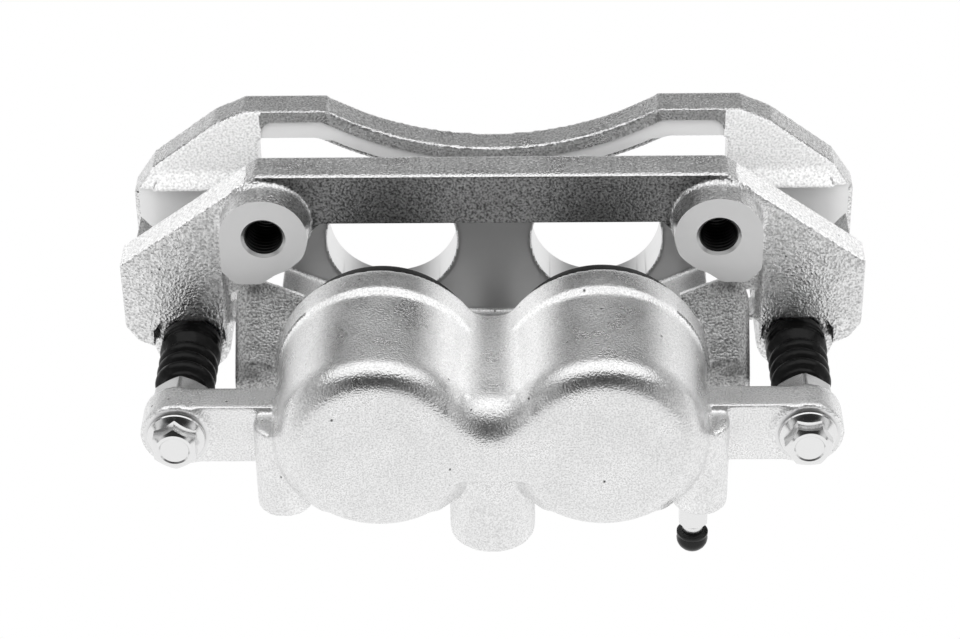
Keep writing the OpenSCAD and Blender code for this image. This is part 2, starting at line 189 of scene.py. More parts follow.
def light_room():
    """A pale room: white at the horizon behind and at the sides, grey above, dark in front."""
    world = bpy.data.worlds.new("room")
    scene.world = world
    world.use_nodes = True
    tree = world.node_tree
    tree.nodes.clear()
    output = add(tree, "ShaderNodeOutputWorld")
    background = add(tree, "ShaderNodeBackground")
    place = add(tree, "ShaderNodeTexCoord")
    split = add(tree, "ShaderNodeSeparateXYZ")
    toward = add(tree, "ShaderNodeVectorMath", {1: DARK_WAY}, operation="DOT_PRODUCT")
    tree.links.new(place.outputs["Generated"], split.inputs[0])
    tree.links.new(place.outputs["Generated"], toward.inputs[0])
    height = ramp(tree, split.outputs["Z"], HORIZON_EDGE, (HORIZON_GLOW, ABOVE_GLOW), smooth=True)
    front = ramp(tree, toward.outputs["Value"], DARK_EDGE, (1, DARK_GLOW), smooth=True)
    glow = calculate(tree, "MULTIPLY", height, front)
    tree.links.new(white_to_eye(tree, glow), background.inputs["Strength"])
    tree.links.new(background.outputs[0], output.inputs["Surface"])


def hang_lamps():
    """A wide lamp overhead, and a weak one in front, unseen in reflections, that lights only the less
    metallic faces: the painted-light copies of the zinc.
    """
    wide = bpy.data.lights.new("overhead", "AREA")
    wide.shape = "RECTANGLE"
    wide.size, wide.size_y = OVERHEAD_SIZE
    wide.energy = OVERHEAD_POWER
    overhead = link("overhead", wide)
    overhead.location = OVERHEAD_PLACE
    weak = bpy.data.lights.new("fill", "AREA")
    weak.size = FILL_SIZE
    weak.energy = FILL_POWER
    fill = link("fill", weak)
    fill.location = FILL_PLACE
    fill.rotation_euler = Vector(FILL_PLACE).to_track_quat("Z", "Y").to_euler()
    fill.visible_glossy = False


place_camera()
lay_table()
light_room()
hang_lamps()
scene.view_settings.view_transform = "Standard"


# ==== Anchor bracket ====
# A ductile iron casting, zinc plated: an inner rail with two bolt bosses, legs, crossings over the
# disc and an outboard arch. Bolt faces, pad pocket and holes are machined after casting.

MM = 0.001
BRACKET_VOXEL = 0.00075
BRACKET_SOFTEN = 5
BOLT_X = 81.0
BOSS_R = 15.8
THREAD_MAJOR_R = 7.0
THREAD_CORE_R = 6.2
THREAD_PITCH = 2.0
RAIL_FRONT = 12.0
RAIL_BACK = 26.0
ARCH_FRONT = 61.0
ARCH_TOP = 17.5
ARCH_R = 122.0
ARCH_MID_Z = 0.5
LIP_PROUD = 1.9
LIP_DRAFT = 1.3
LIP_H = 4.4
POCKET_HALF = 86.0
POCKET_CORNER = 5.0
PIN_X = 112.0
PIN_Z = -57.0
PIN_BORE_R = 6.55
PIN_BORE_END = 69
BRACKET_KEEP = 0.55  # share of the faces that thinning keeps
BOSS_FILLET = 1.8
BOLT_DEPTH = 30
BOLT_CHAMFER = 1.6
LEG_FROM = 88
LEG_LOW = -15.4
# depths of the outboard leg's front faces that take the brighter copy of the cast zinc: painted light
PAINTED_LIGHT_FROM = 54.0
PAINTED_LIGHT_TO = 60.7
RAIL_FACE = (-0.6, 1.6)  # how far the rail's front face wanders from its place
RAIL_LOW = -6
SLOPE_UP = 0.45  # parts of a face's normal that tell a slope and a front face
SLOPE_ASIDE = 0.35
FACING = -0.6


def loft(sections):
    """A solid through a row of closed outlines, each a list of X, Y, Z points in millimetres."""
    bm = bmesh.new()
    rows = [[bm.verts.new([c * MM for c in point]) for point in section] for section in sections]
    bm.faces.new(rows[0])
    bm.faces.new(rows[-1])
    for near, far in zip(rows, rows[1:]):
        for i in range(len(near)):
            j = (i + 1) % len(near)
            bm.faces.new((near[i], near[j], far[j], far[i]))
    bmesh.ops.recalc_face_normals(bm, faces=bm.faces)
    mesh = bpy.data.meshes.new("loft")
    bm.to_mesh(mesh)
    bm.free()
    return mesh


def prism(outline, y0, y1):
    """A block along Y whose section is the outline, given as X and Z in millimetres."""
    return loft([[(x, y, z) for x, z in outline] for y in (y0, y1)])


def turned(profile, x, y, z, axis="Y", sides=96, start=0):
    """A solid turned about an axis, Y or Z, through (x, y, z). The profile is a closed loop of
    (radius, distance along the axis) in millimetres; points on the axis have radius 0."""
    bm = bmesh.new()
    rings = []
    for r, along in profile:
        if r == 0:
            rings.append([bm.verts.new((0, 0, along))])
            continue
        turn = [math.radians(start) + 2 * math.pi * i / sides for i in range(sides)]
        rings.append([bm.verts.new((r * math.cos(a), r * math.sin(a), along)) for a in turn])
    for i, ring in enumerate(rings):
        following = rings[(i + 1) % len(rings)]
        if len(ring) == 1 and len(following) == 1:
            continue
        for k in range(sides):
            n = (k + 1) % sides
            near = [ring[k % len(ring)], ring[n % len(ring)]]
            far = [following[n % len(following)], following[k % len(following)]]
            bm.faces.new(list(dict.fromkeys(near + far)))
    bmesh.ops.recalc_face_normals(bm, faces=bm.faces)
    swing = Matrix.Rotation(math.radians(-90), 4, "X") if axis == "Y" else Matrix.Identity(4)
    bm.transform(Matrix.Scale(MM, 4) @ Matrix.Translation((x, y, z)) @ swing)
    mesh = bpy.data.meshes.new("turned")
    bm.to_mesh(mesh)
    bm.free()
    return mesh


def drum(r, y0, y1, x, z, r1=None, sides=96):
    """A round bar along Y, tapered if its far radius r1 differs."""
    return turned([(0, y0), (r, y0), (r if r1 is None else r1, y1), (0, y1)], x, 0, z, "Y", sides)


def mirrored(mesh):
    """The same mesh on the other side of the middle."""
    twin = mesh.copy()
    twin.transform(Matrix.Scale(-1, 4, (1, 0, 0)))
    twin.flip_normals()
    return twin


def both(*meshes):
    """Each mesh and its twin on the other side."""
    return [m for mesh in meshes for m in (mesh, mirrored(mesh))]


def joined(name, meshes):
    """One object from several closed meshes, which may overlap."""
    bm = bmesh.new()
    for mesh in meshes:
        bm.from_mesh(mesh)
    mesh = bpy.data.meshes.new(name)
    bm.to_mesh(mesh)
    bm.free()
    return link(name, mesh)


def node_mesh(node):
    """The mesh of a part as drawn, with its loose triangles joined."""
    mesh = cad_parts[node].data.copy()
    mesh.materials.clear()
    bm = bmesh.new()
    bm.from_mesh(mesh)
    bmesh.ops.remove_doubles(bm, verts=bm.verts, dist=1e-6)
    bm.to_mesh(mesh)
    bm.free()
    return mesh


def settle(obj):
    """Turns the object's modifiers into plain mesh."""
    depsgraph = bpy.context.evaluated_depsgraph_get()
    mesh = bpy.data.meshes.new_from_object(obj.evaluated_get(depsgraph))
    obj.modifiers.clear()
    obj.data = mesh


def cast(obj, voxel, soften, keep):
    """Melts the parts of a casting into one skin with rounded edges and fillets."""
    remesh = obj.modifiers.new("melt", "REMESH")
    remesh.mode = "VOXEL"
    remesh.voxel_size = voxel
    smooth = obj.modifiers.new("soften", "SMOOTH")
    smooth.factor = 0.5
    smooth.iterations = soften
    thin = obj.modifiers.new("thin", "DECIMATE")
    thin.ratio = keep
    settle(obj)


def machine(obj, tools, material):
    """Cuts the casting with closed tools; the cut faces take the machined finish."""
    cutter = joined("cutter", tools[:1])
    for mesh in tools[1:]:
        combine(cutter, joined("tool", [mesh]), "UNION")
    coat(cutter, material)
    combine(obj, cutter, "DIFFERENCE")


def coat(obj, material):
    """Gives every face the one finish."""
    obj.data.materials.clear()
    obj.data.materials.append(material)
    obj.data.polygons.foreach_set("material_index", [0] * len(obj.data.polygons))


def combine(obj, tool, operation):
    """Joins the tool to the object, or cuts or crops the object with it, and uses the tool up."""
    step = obj.modifiers.new("combine", "BOOLEAN")
    step.operation = operation
    step.solver = "MANIFOLD"
    step.object = tool
    step.material_mode = "TRANSFER"
    settle(obj)
    bpy.data.objects.remove(tool)


def shade(obj, angle=35):
    """Smooth shading that keeps edges sharper than the angle crisp."""
    obj.data.shade_smooth()
    obj.data.set_sharp_from_angle(angle=math.radians(angle))


def new_group(name, inputs, outputs):
    """An empty shader group with its two ends. Inputs are names and kinds, outputs are names."""
    group = bpy.data.node_groups.new(name, "ShaderNodeTree")
    for socket, kind in inputs:
        group.interface.new_socket(socket, in_out="INPUT", socket_type=kind)
    for socket in outputs:
        group.interface.new_socket(socket, in_out="OUTPUT", socket_type="NodeSocketFloat")
    return group, add(group, "NodeGroupInput"), add(group, "NodeGroupOutput")


def cast_skin_group():
    """Sand-cast grain: a fine pebbled height, a slow drift in tone and small scattered pits."""
    pebble_hollow, pebble_peak = 0.3, 0.64
    pit_floor, pit_rim = 0.04, 0.09
    pit_chance = 0.8  # a spot is a pit where its chance is above this
    outputs = ("Height", "Tone", "Grain Tone", "Pits")
    group, start, end = new_group("cast_skin", [("Grain", "NodeSocketFloat")], outputs)
    place = add(group, "ShaderNodeTexCoord")
    pebbles = add(group, "ShaderNodeTexNoise", {"Detail": 1.4, "Roughness": 0.4})
    drift = add(group, "ShaderNodeTexNoise", {"Scale": 60, "Detail": 3})
    spots = add(group, "ShaderNodeTexVoronoi", {"Scale": 150})
    chance = add(group, "ShaderNodeSeparateColor")
    for texture in (pebbles, drift, spots):
        group.links.new(place.outputs["Object"], texture.inputs["Vector"])
    group.links.new(start.outputs["Grain"], pebbles.inputs["Scale"])
    group.links.new(spots.outputs["Color"], chance.inputs[0])
    pits = calculate(group, "MULTIPLY", ramp(group, spots.outputs["Distance"], (pit_floor, pit_rim), (1, 0)),
                     calculate(group, "GREATER_THAN", chance.outputs["Red"], pit_chance))
    height = calculate(group, "SUBTRACT", pebbles.outputs[0], pits)
    grain_tone = ramp(group, pebbles.outputs[0], (pebble_hollow, pebble_peak), (0, 1))
    for name, value in zip(outputs, (height, drift.outputs[0], grain_tone, pits)):
        group.links.new(value, end.inputs[name])
    return group


def cutter_marks_group():
    """Marks of a cutter or a grinding wheel, drawn out along one direction by the stretch."""
    group, start, end = new_group("cutter_marks", [("Stretch", "NodeSocketVector")], ["Height"])
    place = add(group, "ShaderNodeTexCoord")
    draw = add(group, "ShaderNodeMapping")
    marks = add(group, "ShaderNodeTexNoise", {"Scale": 1, "Detail": 3})
    group.links.new(place.outputs["Object"], draw.inputs["Vector"])
    group.links.new(start.outputs["Stretch"], draw.inputs["Scale"])
    group.links.new(draw.outputs[0], marks.inputs["Vector"])
    group.links.new(marks.outputs[0], end.inputs["Height"])
    return group


cast_skin = cast_skin_group()
cutter_marks = cutter_marks_group()


def grey(level):
    """An even grey, as a colour."""
    return level, level, level, 1


def raise_skin(tree, skin, height, depth):
    """Gives the skin's shader the height as a bump."""
    bump = add(tree, "ShaderNodeBump", {"Distance": depth})
    tree.links.new(height, bump.inputs["Height"])
    tree.links.new(bump.outputs[0], skin.inputs["Normal"])


def cast_zinc(name, grain, depth, dark, light, rough, metallic=1.0):
    """Bright zinc plating over a sand-cast surface: dark is the grey of its hollows, light of its peaks."""
    material, tree, output = new_material(name)
    skin = add(tree, "ShaderNodeGroup", {"Grain": grain}, node_tree=cast_skin)
    metal = add(tree, "ShaderNodeBsdfPrincipled", {"Metallic": metallic})
    colour = add(tree, "ShaderNodeMix", {"A": grey(dark), "B": grey(light)}, data_type="RGBA")
    # the pits are mixed towards dark grey: painted shade in their hollows
    pit_shade = add(tree, "ShaderNodeMix", {"B": grey(0.12)}, data_type="RGBA")
    roughness = ramp(tree, skin.outputs["Tone"], (0.35, 0.65), (rough - 0.05, rough + 0.06))
    tree.links.new(roughness, metal.inputs["Roughness"])
    tree.links.new(skin.outputs["Grain Tone"], colour.inputs["Factor"])
    tree.links.new(colour.outputs["Result"], pit_shade.inputs["A"])
    tree.links.new(skin.outputs["Pits"], pit_shade.inputs["Factor"])
    tree.links.new(pit_shade.outputs["Result"], metal.inputs["Base Color"])
    raise_skin(tree, metal, skin.outputs["Height"], depth)
    tree.links.new(metal.outputs[0], output.inputs["Surface"])
    return material


def machined_zinc(name, stretch, depth, rough, metallic=1.0, tone=0.82):
    """Plated machined face, with cutter marks drawn out along one direction."""
    material, tree, output = new_material(name)
    marks = add(tree, "ShaderNodeGroup", {"Stretch": stretch}, node_tree=cutter_marks)
    metal = add(tree, "ShaderNodeBsdfPrincipled", {"Metallic": metallic, "Base Color": grey(tone)})
    roughness = ramp(tree, marks.outputs["Height"], (0, 1), (rough - 0.06, rough + 0.08))
    tree.links.new(roughness, metal.inputs["Roughness"])
    raise_skin(tree, metal, marks.outputs["Height"], depth)
    tree.links.new(metal.outputs[0], output.inputs["Surface"])
    return material


bracket_skin = cast_zinc("bracket_cast_zinc", 1200, 0.00028, dark=0.5, light=0.92, rough=0.3)
# a paler, less metallic copy of the cast zinc for the leg slopes and outboard leg fronts: painted light
painted_light_skin = cast_zinc("bracket_zinc_painted_light", 1150, 0.0002, dark=0.62, light=0.97, rough=0.4, metallic=0.3)
# a near black copy of the cast zinc for the rail's front face: painted shade where that face looks down onto
# the cylinders
rail_painted_shade_skin = cast_zinc("bracket_zinc_painted_shade", 1150, 0.00022, dark=0.09, light=0.38, rough=0.36)
# a near black finish for the bolt holes and their threads: painted shade inside the holes
thread_painted_shade = machined_zinc("bolt_thread_painted_shade", (900, 200, 900), 0.00001, rough=0.4, tone=0.05)
bracket_cut = machined_zinc("bracket_milled_zinc", (260, 400, 2600), 0.00003, rough=0.32, tone=0.66)
# less metallic copies of the milled zinc for the pocket and leg faces, so the front lamp lights them bright:
# painted light
pocket_painted_light_cut = machined_zinc("bracket_pocket_zinc_painted_light", (120, 400, 1500), 0.000012, rough=0.35, metallic=0.4)
leg_painted_light_cut = machined_zinc("bracket_leg_zinc_painted_light", (120, 400, 1500), 0.000012, rough=0.35, metallic=0.75)


def boss_stock():
    """Extra metal in front of a bolt face, and the fillet where the boss meets the rail."""
    face = [(BOLT_X + BOSS_R * math.cos(a), BOSS_R * math.sin(a))
            for a in [math.radians(6 * i) for i in range(31)]]
    face += [(BOLT_X - BOSS_R, 0), (BOLT_X - 13.5, -8.2), (BOLT_X + 2, -BOSS_R - 3.6),
             (BOLT_X + BOSS_R - 5, -BOSS_R - 3.6), (BOLT_X + BOSS_R, -BOSS_R + 2)]
    outline = list(dict.fromkeys((round(x, 4), round(z, 4)) for x, z in face))
    fillet = drum(BOSS_R, RAIL_FRONT - 2, RAIL_FRONT + 1, BOLT_X, 0, BOSS_R + BOSS_FILLET)
    return [prism(outline, -2, 2), fillet]


def outboard_skin():
    """The raw cast face that stands proud of the milled pocket, flared out at the bottom of the legs."""
    leg = [(87.5, -16), (87.5, ARCH_TOP - 12), (61, ARCH_TOP - 12), (61, ARCH_TOP), (91.8, ARCH_TOP),
           (103.5, 12.3), (127.5, -6), (133.6, -16)]
    pieces = both(prism(leg, ARCH_FRONT - LIP_PROUD, ARCH_FRONT + 3))
    stations = [62.0 * (i / 10 - 1) for i in range(21)]
    lip = []
    for x in stations:
        top = ARCH_MID_Z + ARCH_R - math.sqrt(ARCH_R ** 2 - x ** 2)
        low = ARCH_MID_Z + ARCH_R - math.sqrt((ARCH_R + LIP_H + 4) ** 2 - x ** 2)
        lip.append([(x, ARCH_FRONT + 3, top), (x, ARCH_FRONT - LIP_PROUD + LIP_DRAFT, top),
                    (x, ARCH_FRONT - LIP_PROUD - 0.4, low), (x, ARCH_FRONT + 3, low)])
    pieces.append(loft(lip))
    flare = [(ARCH_FRONT - LIP_PROUD - 3, -15.6), (ARCH_FRONT - LIP_PROUD, -8.0), (ARCH_FRONT + 2, -7),
             (ARCH_FRONT + 2, -15.6)]
    near = [(87.5, y, z) for y, z in flare]
    far = [(128.6 if z < -10 else 123.5, y, z) for y, z in flare]
    return pieces + both(loft([near, far]))


def pocket_tool():
    """The milled pocket that clears the outboard pad: everything under the lip, with round corners."""
    line = ARCH_TOP - LIP_H
    steps = 24
    arc_r = ARCH_R + LIP_H
    arc_x = math.sqrt(arc_r ** 2 - (ARCH_MID_Z + ARCH_R - line) ** 2)
    arc = [(arc_x * (1 - 2 * i / steps)) for i in range(steps + 1)]
    outline = [(POCKET_HALF, -60)]
    for a in [math.radians(15 * i) for i in range(7)]:
        outline.append((POCKET_HALF - POCKET_CORNER * (1 - math.cos(a)),
                        line - POCKET_CORNER * (1 - math.sin(a))))
    outline += [(x, ARCH_MID_Z + ARCH_R - math.sqrt(arc_r ** 2 - x ** 2)) for x in arc]
    outline += [(-x, z) for x, z in reversed(outline[:8])]
    return prism(outline, ARCH_FRONT - 8, ARCH_FRONT)


bracket = joined("bracket_casting", [node_mesh("anchor_bracket"), *both(*boss_stock()), *outboard_skin()])
cast(bracket, BRACKET_VOXEL, BRACKET_SOFTEN, BRACKET_KEEP)
coat(bracket, bracket_skin)
face_tool = prism([(50, -40), (110, -40), (110, 40), (50, 40)], -10, 0)
mouth_tool = drum(THREAD_MAJOR_R + BOLT_CHAMFER, -0.6, 1.0, BOLT_X, 0, THREAD_MAJOR_R)
bolt_tool = drum(THREAD_MAJOR_R, -1, BOLT_DEPTH, BOLT_X, 0)
leg_tool = prism([(POCKET_HALF, -60), (140, -60), (140, LEG_LOW), (POCKET_HALF, LEG_LOW)],
                 RAIL_BACK + 20, ARCH_FRONT)
pin_tool = drum(PIN_BORE_R, RAIL_FRONT - 2, PIN_BORE_END, PIN_X, PIN_Z)
machine(bracket, both(face_tool), bracket_cut)
machine(bracket, both(mouth_tool), bracket_cut)
machine(bracket, both(bolt_tool), thread_painted_shade)
machine(bracket, both(leg_tool), leg_painted_light_cut)
machine(bracket, both(pin_tool), bracket_cut)
machine(bracket, [pocket_tool()], pocket_painted_light_cut)
painted_light_slot = len(bracket.data.materials)
rail_painted_shade_slot = painted_light_slot + 1
bracket.data.materials.append(painted_light_skin)
bracket.data.materials.append(rail_painted_shade_skin)
# Faces picked by where they face take copies of the cast zinc: slopes and outboard leg fronts a paler one
# (painted light), the rail's front a near black one (painted shade).
for face in bracket.data.polygons:
    x, y, z = face.center / MM
    slopes = face.normal.z > SLOPE_UP and abs(face.normal.x) > SLOPE_ASIDE
    fronts = face.normal.y <= FACING
    if slopes and RAIL_FRONT < y < RAIL_BACK + 1 and abs(x) > LEG_FROM:
        face.material_index = painted_light_slot
    if fronts and PAINTED_LIGHT_FROM < y < PAINTED_LIGHT_TO and abs(x) > POCKET_HALF:
        face.material_index = painted_light_slot
    # the rail's front face takes the near black copy: painted shade
    elif fronts and RAIL_FACE[0] < y - RAIL_FRONT < RAIL_FACE[1] and abs(x) < BOLT_X and z > RAIL_LOW:
        face.material_index = rail_painted_shade_slot
shade(bracket)
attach(bracket, "bracket")
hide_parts("anchor_bracket")


# The threads cut in the two bolt holes: a ring of metal at every pitch, standing in from the wall.

THREAD_TURNS = 12
THREAD_START = 2.2


def thread_tree():
    """Rings set at an even pitch along Y."""
    tree = bpy.data.node_groups.new("thread_rings", "GeometryNodeTree")
    face = tree.interface
    face.new_socket("Geometry", in_out="INPUT", socket_type="NodeSocketGeometry")
    for name, value in (("Major Radius", 0.007), ("Ridge", 0.0006), ("Pitch", 0.002)):
        face.new_socket(name, in_out="INPUT", socket_type="NodeSocketFloat").default_value = value
    face.new_socket("Turns", in_out="INPUT", socket_type="NodeSocketInt").default_value = 12
    face.new_socket("Ridge Sides", in_out="INPUT", socket_type="NodeSocketInt").default_value = 4
    face.new_socket("Finish", in_out="INPUT", socket_type="NodeSocketMaterial")
    face.new_socket("Geometry", in_out="OUTPUT", socket_type="NodeSocketGeometry")
    nodes, links = tree.nodes, tree.links
    start = nodes.new("NodeGroupInput")
    end = nodes.new("NodeGroupOutput")
    ring = nodes.new("GeometryNodeCurvePrimitiveCircle")
    ring.inputs["Resolution"].default_value = 64
    ridge = nodes.new("GeometryNodeCurvePrimitiveCircle")
    sweep = nodes.new("GeometryNodeCurveToMesh")
    row = nodes.new("GeometryNodeMeshLine")
    step = nodes.new("ShaderNodeCombineXYZ")
    copies = nodes.new("GeometryNodeInstanceOnPoints")
    lay = nodes.new("FunctionNodeAxisAngleToRotation")
    lay.inputs["Axis"].default_value = (1, 0, 0)
    lay.inputs["Angle"].default_value = math.radians(90)
    real = nodes.new("GeometryNodeRealizeInstances")
    finish = nodes.new("GeometryNodeSetMaterial")
    links.new(start.outputs["Major Radius"], ring.inputs["Radius"])
    links.new(start.outputs["Ridge"], ridge.inputs["Radius"])
    links.new(start.outputs["Ridge Sides"], ridge.inputs["Resolution"])
    links.new(ring.outputs["Curve"], sweep.inputs["Curve"])
    links.new(ridge.outputs["Curve"], sweep.inputs["Profile Curve"])
    links.new(start.outputs["Pitch"], step.inputs["Y"])
    links.new(step.outputs[0], row.inputs["Offset"])
    links.new(start.outputs["Turns"], row.inputs["Count"])
    links.new(row.outputs["Mesh"], copies.inputs["Points"])
    links.new(sweep.outputs["Mesh"], copies.inputs["Instance"])
    links.new(lay.outputs["Rotation"], copies.inputs["Rotation"])
    links.new(copies.outputs["Instances"], real.inputs["Geometry"])
    links.new(real.outputs["Geometry"], finish.inputs["Geometry"])
    links.new(start.outputs["Finish"], finish.inputs["Material"])
    links.new(finish.outputs["Geometry"], end.inputs["Geometry"])
    return tree


def grow(name, tree, values, place):
    """Runs a geometry tree with the given inputs and keeps its plain mesh, moved to its place."""
    seed = link(name, bpy.data.meshes.new(name))
    modifier = seed.modifiers.new("grow", "NODES")
    modifier.node_group = tree
    sockets = {item.name: item.identifier for item in tree.interface.items_tree if item.in_out == "INPUT"}
    for key, value in values.items():
        modifier[sockets[key]] = value
    settle(seed)
    seed.data.transform(place)
    return seed


threads = thread_tree()
for side, name in ((-1, "left"), (1, "right")):
    thread = grow("bolt_thread_" + name, threads,
                  {"Major Radius": THREAD_MAJOR_R * MM, "Ridge": (THREAD_MAJOR_R - THREAD_CORE_R) * MM,
                   "Pitch": THREAD_PITCH * MM, "Turns": THREAD_TURNS, "Finish": thread_painted_shade},
                  Matrix.Translation((side * BOLT_X * MM, THREAD_START * MM, 0)))
    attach(thread, "bracket")


# ==== Caliper housing ====
# A second zinc-plated casting: two cylinders side by side, shoulders, a bridge over the disc and three
# fingers, with an arm out to each guide pin. Bores, seal grooves, bolt seats and ports are machined.

HOUSING_VOXEL = 0.00085
HOUSING_SOFTEN = 8
PISTON_X = 39.6
PISTON_Z = -49.0
BORE_R = 24.05
BARREL_R = 36.8
RIM_R = 38.3
RIM_Y = -3.5
RIM_W = 12.0
BORE_END = -52.0
END_ROUND = 8.7
CLOSED_END = -62.6
CLOSED_R = 35.1
HOUSING_KEEP = 0.42
# how much metallic the flanks lose, so that they show bright: painted light
FLANK_PAINTED_LIGHT = 0.65
FLANK_BESIDE = (0.011, 0.026)  # metres from the cylinder's middle, where the flank starts
FLANK_STOP = (0.029, 0.038)
FLANK_AT_STOP = 0.15
FLANK_END = (-0.0575, -0.049)
DRAFT_START = 1.4
DRAFTED = ((8, 205), (236, 304))  # degrees from the outer side, up over the top, that stand free
FINGER_FRONT = 74.0
FINGER_BACK = 92
FINGER_FACING = -0.9
FINGER_HOLE_R = 25.2
WEB_TOP = -32.5
WEB_ROUND = 14.0
BOOT_BORE_R = 31.5
BOOT_BORE_DEPTH = 4.5
MOUTH_FACE_R = 35.0
SEAL_GROOVE = 3.0
SEAL_BACK = 9.0
SEAL_FRONT = 5.0
ARM_FRONT = -40.0
EAR_HOLE_R = 5.6
SEAT_R = 11.6
SEAT_DEPTH = 0.9
EAR_FRONT = -45
EAR_BACK = -20
PORT_Y = -44
PORT_R = 4.5
PORT_LOW = -97
PORT_END = -76
SHOULDER_PAD_R = 4.2
SHOULDER_PAD_PLACE = (88.2, -52)
SHOULDER_DEPTH = (-16, 8)
SHOULDER_HEIGHT = (-62, -20)
SHOULDER_FACING = -0.25
SHOULDER = [(60, -32.0), (66, -29.5), (84.5, -21.5), (88.5, -21.8), (91.5, -24.5), (93.3, -31)]


def quarter(cy, cz, radius, start, steps=10):
    """Points round a quarter circle in Y and Z, from the given angle."""
    return [(cy + radius * math.cos(math.radians(start + 90 * i / steps)),
             cz + radius * math.sin(math.radians(start + 90 * i / steps))) for i in range(steps + 1)]


def closed_end():
    """The profile of a cylinder's drafted wall and the full round at its closed end."""
    ends = [(CLOSED_R - END_ROUND + END_ROUND * math.sin(math.radians(9 * i)),
             CLOSED_END + END_ROUND - END_ROUND * math.cos(math.radians(9 * i))) for i in range(11)]
    return [*ends, (BARREL_R, RIM_Y - RIM_W - DRAFT_START)]


def cylinder_stock():
    """A cylinder as cast: a thicker band round its mouth and a full round at its closed end."""
    profile = [(0, CLOSED_END), *closed_end(), (RIM_R, RIM_Y - RIM_W), (RIM_R, RIM_Y), (0, RIM_Y)]
    return turned(profile, PISTON_X, 0, PISTON_Z, "Y", 128)


def cylinder_shave(first, last):
    """What the draft takes off a cylinder, between two angles where nothing else meets it."""
    outer = BARREL_R + 0.1
    past = CLOSED_END - 2
    ring = [*closed_end(), (outer, RIM_Y - RIM_W - DRAFT_START), (outer, past), (20, past)]
    shave = joined("draft", [turned(ring, PISTON_X, 0, PISTON_Z, "Y", 128)])
    reach = 60
    fan = [math.radians(first + (last - first) * i / 10) for i in range(11)]
    sector = [(PISTON_X, PISTON_Z)]
    sector += [(PISTON_X + reach * math.cos(a), PISTON_Z + reach * math.sin(a)) for a in fan]
    combine(shave, joined("sector", [prism(sector, CLOSED_END - 4, 0)]), "INTERSECT")
    mesh = shave.data
    bpy.data.objects.remove(shave)
    return mesh


def web_shave():
    """What is cut from the top of the web between the cylinders."""
    section = [(-4, WEB_TOP + 2), *quarter(CLOSED_END + WEB_ROUND, WEB_TOP - WEB_ROUND, WEB_ROUND, 90),
               (-70, -48), (-70, -20), (-4, -20)]
    return loft([[(x, y, z) for y, z in section] for x in (-6.6, 6.6)])


def shoulder_shave():
    """What is cut from in front of each shoulder, so that it slants down to the arm."""
    return loft([[(x, 5.5, z + 0.3), (x, -14.5, z - 22.2), (x, -16, z - 22), (x, -16, 6), (x, 5.5, 6)]
                 for x, z in SHOULDER])


def shoulder_stock():
    """The slanting front of each shoulder, and a low round pad on it just above the arm."""
    wing = [[(x, 7.5, z), (x, 5.5, z), (x, -14.5, max(z - 22.5, -61)), (x, -14.5, -62), (x, 7.5, -62)]
            for x, z in SHOULDER]
    return [loft(wing), drum(SHOULDER_PAD_R, -15.8, -8, *SHOULDER_PAD_PLACE)]


def web_stock():
    """The rounded end of the web between the cylinders."""
    sections = []
    for x in range(-15, 16, 2):
        top = WEB_TOP + 0.034 * x ** 2
        radius = WEB_ROUND - 0.023 * x ** 2
        path = [(-4, top + 2), *quarter(CLOSED_END + radius, top - radius, radius, 90), (CLOSED_END, -62),
                (-4, -62)]
        sections.append([(x, y, z) for y, z in path])
    return loft(sections)


housing_skin = cast_zinc("housing_cast_zinc", 1600, 0.00018, dark=0.66, light=0.92, rough=0.3)
# a darker, rougher copy of the cast zinc for the shoulders' slanted fronts: painted shade
shoulder_painted_shade_skin = cast_zinc("shoulder_cast_zinc_painted_shade", 1300, 0.0003, dark=0.3, light=0.78, rough=0.5)
finger_skin = machined_zinc("finger_milled_zinc", (60, 300, 1400), 0.00002, rough=0.36, tone=0.56)
housing_cut = machined_zinc("housing_bored_zinc", (250, 2200, 250), 0.000005, rough=0.3)


def flank_group():
    """A mask of the cylinders' flanks: beside each crown, short of the web and of the closed end. There the
    metallic is lowered, so the lamps light the flanks bright: painted light.
    """
    group, _, end = new_group("cylinder_flanks_painted_light", [], ["Bright"])
    place = add(group, "ShaderNodeTexCoord")
    split = add(group, "ShaderNodeSeparateXYZ")
    group.links.new(place.outputs["Object"], split.inputs[0])
    across = calculate(group, "SUBTRACT", calculate(group, "ABSOLUTE", split.outputs["X"]), PISTON_X * MM)
    away = calculate(group, "ABSOLUTE", across)
    beside = ramp(group, away, FLANK_BESIDE, (0, FLANK_PAINTED_LIGHT), smooth=True)
    short_of_web = ramp(group, away, FLANK_STOP, (1, FLANK_AT_STOP), smooth=True)
    short_of_end = ramp(group, split.outputs["Y"], FLANK_END, (0, 1), smooth=True)
    flank_painted_light = calculate(group, "MULTIPLY", calculate(group, "MULTIPLY", beside, short_of_web), short_of_end)
    group.links.new(calculate(group, "SUBTRACT", 1.0, flank_painted_light), end.inputs["Bright"])
    return group


